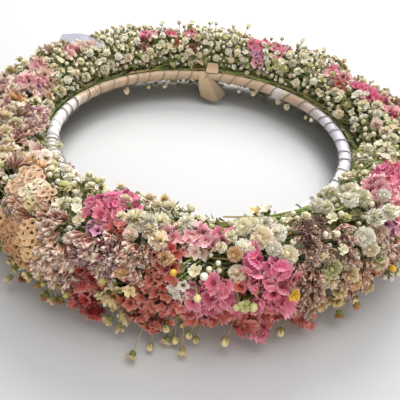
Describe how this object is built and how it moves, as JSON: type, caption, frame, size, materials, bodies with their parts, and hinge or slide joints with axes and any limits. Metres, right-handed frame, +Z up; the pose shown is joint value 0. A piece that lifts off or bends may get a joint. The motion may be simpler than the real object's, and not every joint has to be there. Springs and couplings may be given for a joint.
{
  "type": "flower crown",
  "caption": "Closed round hair crown of dried statice, baby's breath and sea lavender bunches bound with thin wire to a ribbon-wrapped hoop.",
  "frame": {"origin": "centre of the hoop, at the table the crown lies on", "axes": "+Z up along the hoop's axis; -Y is the front of the crown as it is seen; +X is its right"},
  "size_m": [0.288, 0.288, 0.051],
  "materials": {
    "cane": "raw peeled cane",
    "ribbon": "satin weave, off-white with a lilac sheen",
    "wire": "thin dull galvanised wire",
    "stems": "dried green stems",
    "statice_pink": "papery, strong pink",
    "babys_breath_flowers": "papery cream-white buds and small double heads",
    "statice_pale": "papery, pale pink to cream",
    "sea_lavender_florets": "dry mauve-brown florets",
    "statice_cream": "papery, cream to peach",
    "statice_crimson": "papery, crimson-rose",
    "statice_dusky": "papery, dusky rose"
  },
  "bodies": {
    "root": {"hoop_core": "cane", "ribbon_wrap": "ribbon", "binding_wire": "wire", "ribbon_end_back": "ribbon", "ribbon_end_outer": "ribbon", "bunch_01_stems": "stems", "bunch_01_pink_statice": "statice_pink", "bunch_02_stems": "stems", "bunch_02_babys_breath": "babys_breath_flowers", "bunch_03_stems": "stems", "bunch_03_pink_statice": "statice_pink", "bunch_04_stems": "stems", "bunch_04_babys_breath": "babys_breath_flowers", "bunch_05_stems": "stems", "bunch_05_pink_statice": "statice_pink", "bunch_06_stems": "stems", "bunch_06_babys_breath": "babys_breath_flowers", "bunch_07_stems": "stems", "bunch_07_babys_breath": "babys_breath_flowers", "bunch_08_stems": "stems", "bunch_08_pink_statice": "statice_pink", "bunch_09_stems": "stems", "bunch_09_babys_breath": "babys_breath_flowers", "bunch_10_stems": "stems", "bunch_10_pale_statice": "statice_pale", "bunch_11_stems": "stems", "bunch_11_babys_breath": "babys_breath_flowers", "bunch_12_stems": "stems", "bunch_12_pale_statice": "statice_pale", "bunch_13_stems": "stems", "bunch_13_pale_statice": "statice_pale", "bunch_14_stems": "stems", "bunch_14_sea_lavender": "sea_lavender_florets", "bunch_15_stems": "stems", "bunch_15_babys_breath": "babys_breath_flowers", "bunch_16_stems": "stems", "bunch_16_cream_statice": "statice_cream", "bunch_17_stems": "stems", "bunch_17_crimson_statice": "statice_crimson", "bunch_18_stems": "stems", "bunch_18_dusky_statice": "statice_dusky", "bunch_19_stems": "stems", "bunch_19_pink_statice": "statice_pink", "bunch_20_stems": "stems", "bunch_20_sea_lavender": "sea_lavender_florets", "bunch_21_stems": "stems", "bunch_21_sea_lavender": "sea_lavender_florets", "bunch_22_stems": "stems", "bunch_22_pink_statice": "statice_pink", "bunch_23_stems": "stems", "bunch_23_babys_breath": "babys_breath_flowers", "bunch_24_stems": "stems", "bunch_24_babys_breath": "babys_breath_flowers"}
  },
  "joints": []
}
